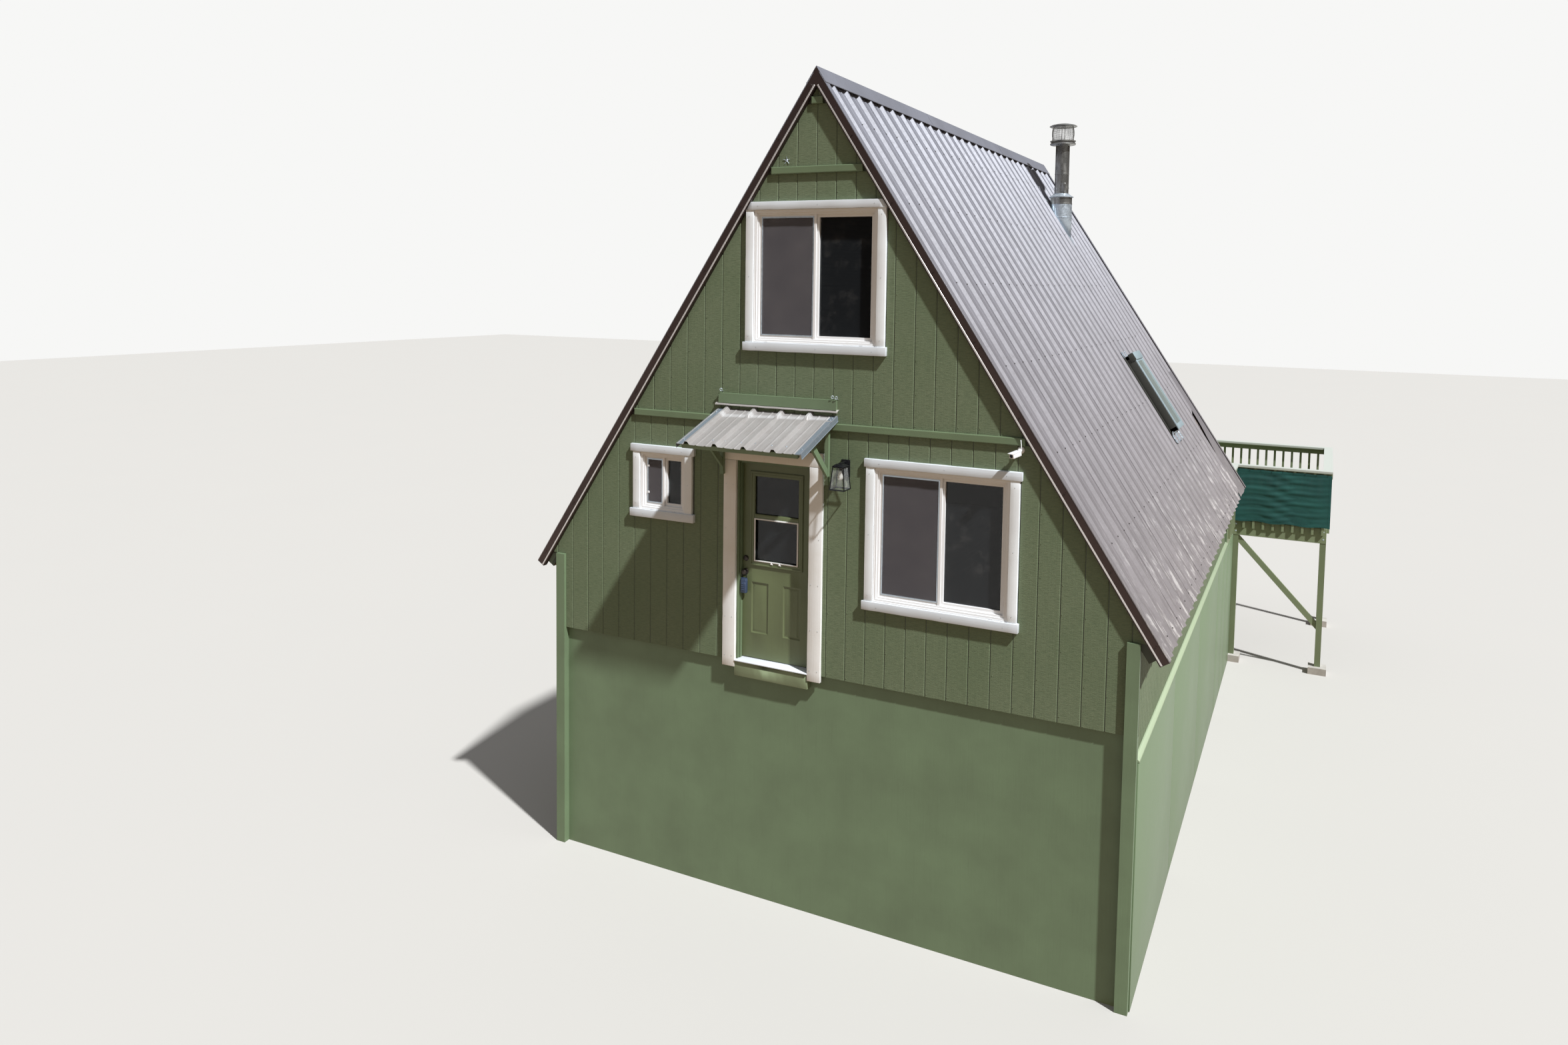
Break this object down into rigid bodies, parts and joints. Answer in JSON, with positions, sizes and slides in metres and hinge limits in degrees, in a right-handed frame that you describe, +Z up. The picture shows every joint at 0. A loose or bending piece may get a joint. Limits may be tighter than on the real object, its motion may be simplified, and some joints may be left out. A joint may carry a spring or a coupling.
{
  "type": "a-frame cabin",
  "caption": "A-frame cabin with ribbed metal roof slopes, green panel siding, hinged front door under a small awning, loft floor and a raised rear deck.",
  "frame": {"origin": "on the underside of the front foundation wall, under the ridge line, at the level of the lowest ground", "axes": "+Z up, -Y is the way the front gable and door face, +X is to the right seen from the front"},
  "size_m": [7.9067, 13.8363, 8.74],
  "materials": {
    "siding_green": "rough-sawn panel siding, green paint, matt",
    "board_green": "smooth boards and plywood, green paint, satin",
    "white_paint": "rough boards, white paint, matt",
    "window_white": "white painted boards round white window frames",
    "roof_metal": "taupe painted ribbed steel, satin",
    "trim_brown": "dark brown painted steel, satin",
    "galvanized": "galvanized steel, spangled",
    "flue_steel": "weathered stainless steel",
    "roof_timber": "bare softwood rafters and plywood",
    "floor_timber": "plywood and joists",
    "door_green": "green painted steel door, satin",
    "hardware_dark": "dark bronze, and blue-grey rubber cover",
    "pane": "clear window glass",
    "black_metal": "black painted metal lantern with glass",
    "camera_white": "white plastic",
    "skylight_frame": "dark grey painted metal",
    "deck_green": "sage green painted framing lumber",
    "concrete": "cast concrete",
    "cloth_green": "dark green woven shade cloth"
  },
  "bodies": {
    "house": {"foundation_front": "board_green", "foundation_rear": "board_green", "skirt_right": "board_green", "skirt_left": "board_green", "main_floor": "floor_timber", "loft_floor": "floor_timber", "front_wall_left": "siding_green", "front_wall_right": "siding_green", "front_wall_upper": "siding_green", "rear_wall": "siding_green", "side_wall_right": "siding_green", "side_wall_left": "siding_green", "roof_deck_right": "roof_timber", "roof_deck_left": "roof_timber", "roofing_right": "roof_metal", "roofing_left": "roof_metal", "ridge_cap": "roof_metal", "rake_trim_front": "trim_brown", "rake_trim_rear": "trim_brown", "corner_boards": "board_green", "belt_boards": "board_green", "door_frame": "board_green", "door_casing": "white_paint", "small_window": "window_white", "small_window_glass": "pane", "large_window": "window_white", "large_window_glass": "pane", "upper_window": "window_white", "upper_window_glass": "pane", "awning_frame": "board_green", "awning_roofing": "roof_metal", "awning_flashing": "galvanized", "wall_lantern": "black_metal", "security_camera": "camera_white", "chimney_flashing": "galvanized", "chimney": "flue_steel", "skylight": "skylight_frame", "skylight_glass": "pane", "deck_floor": "deck_green", "deck_posts": "deck_green", "deck_brace": "deck_green", "deck_pads": "concrete", "deck_rail_near": "deck_green", "deck_rail_right": "deck_green", "deck_rail_far": "deck_green", "shade_cloth": "cloth_green"},
    "front_door": {"door_slab": "door_green", "door_glass": "pane", "door_hardware": "hardware_dark"}
  },
  "joints": [
    {"name": "front_door_hinge", "type": "hinge", "parent": "house", "child": "front_door", "pos_m": [-0.039, 0.071, 3.45], "axis": [0, 0, -1], "range_deg": [0, 100]}
  ]
}
